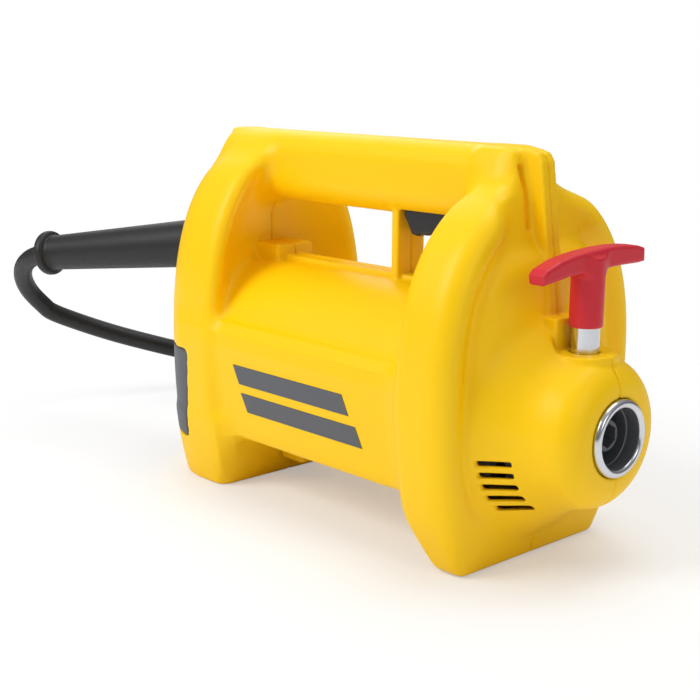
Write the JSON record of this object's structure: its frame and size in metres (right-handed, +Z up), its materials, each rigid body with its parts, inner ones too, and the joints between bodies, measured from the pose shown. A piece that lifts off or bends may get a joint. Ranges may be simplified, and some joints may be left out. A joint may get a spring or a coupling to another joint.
{
  "type": "concrete vibrator drive unit",
  "caption": "Hand-held electric drive unit for a concrete vibrator: moulded housing with top handle and trigger, quick-lock shaft socket with T-knob, cable guard and coiled mains cord.",
  "frame": {"origin": "on the floor, under the centre of the drive unit's box (cable guard and cord left out)", "axes": "+X forwards, along the drive axis out of the shaft socket; +Y to the left; +Z up"},
  "size_m": [0.5283, 0.3425, 0.22],
  "materials": {
    "yellow_housing": "satin",
    "grey_cover": "satin",
    "foam": "open cell",
    "cast_aluminium": "cast",
    "polished_steel": "polished",
    "steel": "ground",
    "lamination": "stacked sheet",
    "enamelled_copper": "varnished",
    "copper": "turned",
    "brass": "stamped",
    "carbon": "matte",
    "black_plastic": "satin",
    "red_plastic": "semi-gloss",
    "black_rubber": "matte",
    "grey_print": "matte"
  },
  "bodies": {
    "housing": {"housing_right": "yellow_housing", "housing_left": "yellow_housing", "rear_cover": "grey_cover", "air_filter": "foam", "bearing_plate": "cast_aluminium", "socket_sleeve": "polished_steel", "front_bearing": "steel", "rear_bearing": "steel", "stator_core": "lamination", "field_coils": "enamelled_copper", "brush_holder_right": "brass", "brush_holder_left": "brass", "carbon_brush_right": "carbon", "carbon_brush_left": "carbon", "brush_spring_right": "steel", "brush_spring_left": "steel", "brush_caps": "black_plastic", "switch_body": "black_plastic", "capacitor": "black_plastic", "motor_leads": "black_rubber", "cable_clamp": "black_plastic", "clamp_screws": "steel", "housing_screws": "steel", "plate_screws": "steel", "trigger_pin": "steel", "lock_guide": "polished_steel", "lock_spring": "steel", "side_bars_right": "grey_print", "side_bars_left": "grey_print", "cable_guard": "black_rubber", "cable": "black_rubber", "cable_coil": "black_rubber", "cable_tail": "black_rubber", "coil_tie": "black_plastic", "plug_body": "black_rubber", "plug_pins": "steel"},
    "rotor": {"rotor_shaft": "steel", "armature_core": "lamination", "armature_winding": "enamelled_copper", "commutator": "copper", "fan": "black_plastic", "drive_spindle": "steel"},
    "trigger": {"trigger": "black_plastic"},
    "switch_plunger": {"switch_plunger": "black_plastic"},
    "lock_slide": {"lock_collar": "steel"},
    "lock_knob": {"lock_pin": "steel", "t_handle": "red_plastic"}
  },
  "joints": [
    {"name": "rotor_spin", "type": "hinge", "parent": "housing", "child": "rotor", "pos_m": [0, 0, 0.0772], "axis": [1, 0, 0], "continuous": true},
    {"name": "trigger_pull", "type": "hinge", "parent": "housing", "child": "trigger", "pos_m": [0.0695, 0, 0.1835], "axis": [0, 1, 0], "range_deg": [0, 6.5], "stiffness_Nm_per_rad": 1.5, "springref_deg": -5.73},
    {"name": "switch_push", "type": "slide", "parent": "housing", "child": "switch_plunger", "axis": [0, 0, 1], "range_m": [0, 0.0045]},
    {"name": "lock_lift", "type": "slide", "parent": "housing", "child": "lock_slide", "axis": [0, 0, 1], "range_m": [0, 0.008], "stiffness_N_per_m": 900, "springref_m": -0.006, "deforming": ["lock_spring"]},
    {"name": "lock_turn", "type": "hinge", "parent": "lock_slide", "child": "lock_knob", "pos_m": [0.1342, 0, 0.13], "axis": [0, 0, 1], "range_deg": [-20, 20]}
  ],
  "couplings": [
    {"joint": "switch_push", "follows": "trigger_pull", "m_per_rad": 0.0375}
  ]
}
